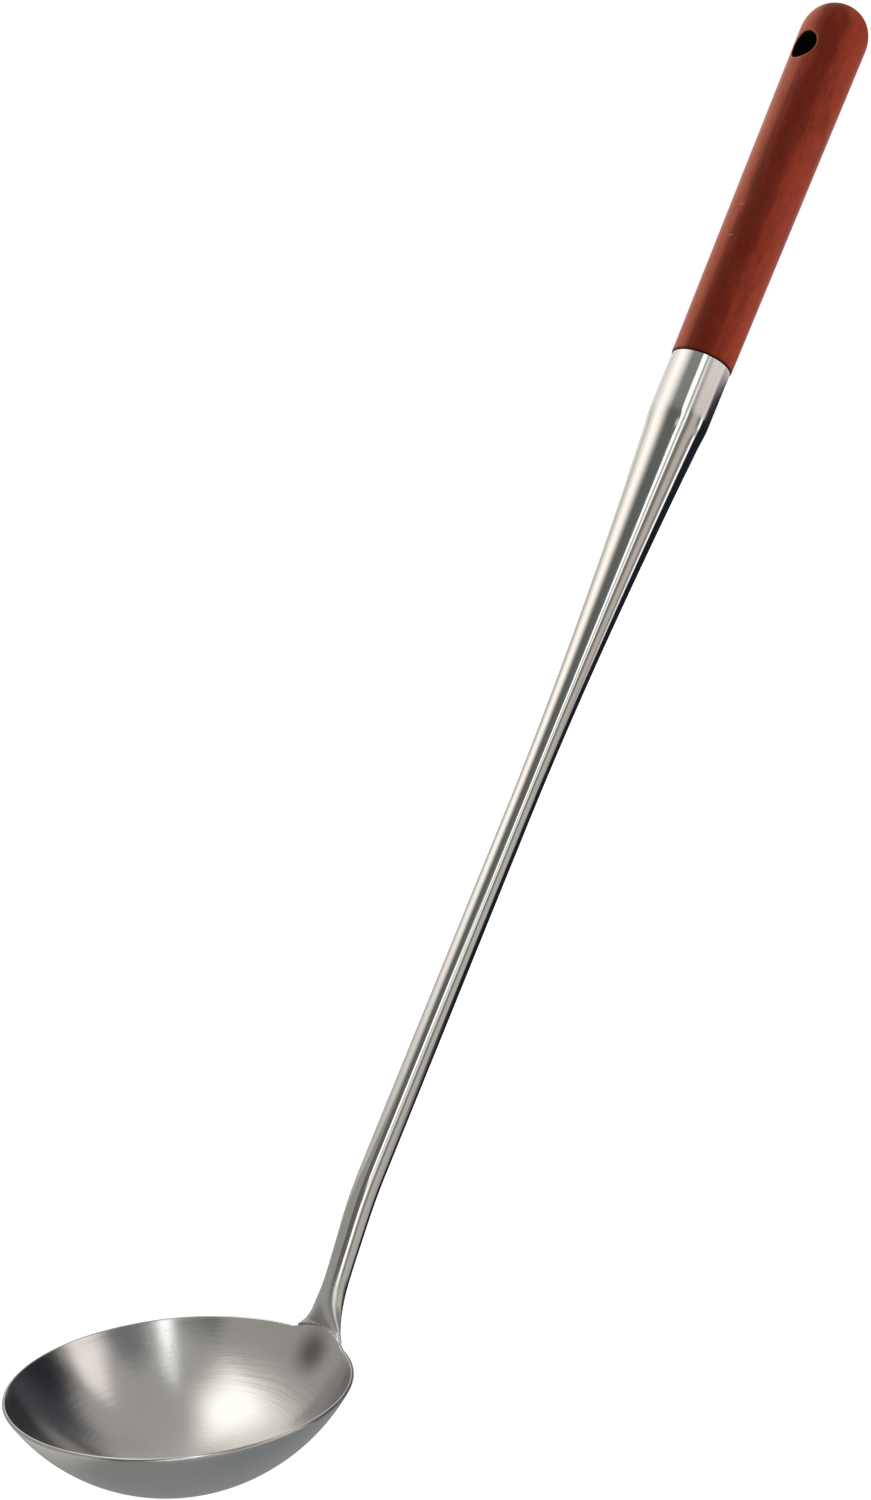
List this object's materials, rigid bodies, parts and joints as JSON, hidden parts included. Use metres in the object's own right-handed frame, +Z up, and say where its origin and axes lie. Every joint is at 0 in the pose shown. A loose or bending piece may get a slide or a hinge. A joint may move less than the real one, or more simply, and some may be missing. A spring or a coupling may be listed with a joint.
{
  "type": "wok ladle",
  "caption": "Long-handled ladle: a shallow round steel bowl, a tapered steel tube welded to its rim, and a turned wooden grip with a hanging hole.",
  "frame": {"origin": "centre of the ladle's box, on the level that the bowl's lowest point touches", "axes": "+Z up with the bowl's rim level, +X from the bowl towards the end of the handle, +Y across the handle"},
  "size_m": [0.3808, 0.112, 0.4763],
  "materials": {
    "bowl_steel": "satin, brushed round the bowl",
    "shaft_steel": "polished",
    "weld_steel": "ground weld",
    "grip_wood": "stained red-brown, satin lacquer"
  },
  "bodies": {
    "root": {"bowl": "bowl_steel", "shaft": "shaft_steel", "weld_seam": "weld_steel", "grip": "grip_wood"}
  },
  "joints": []
}
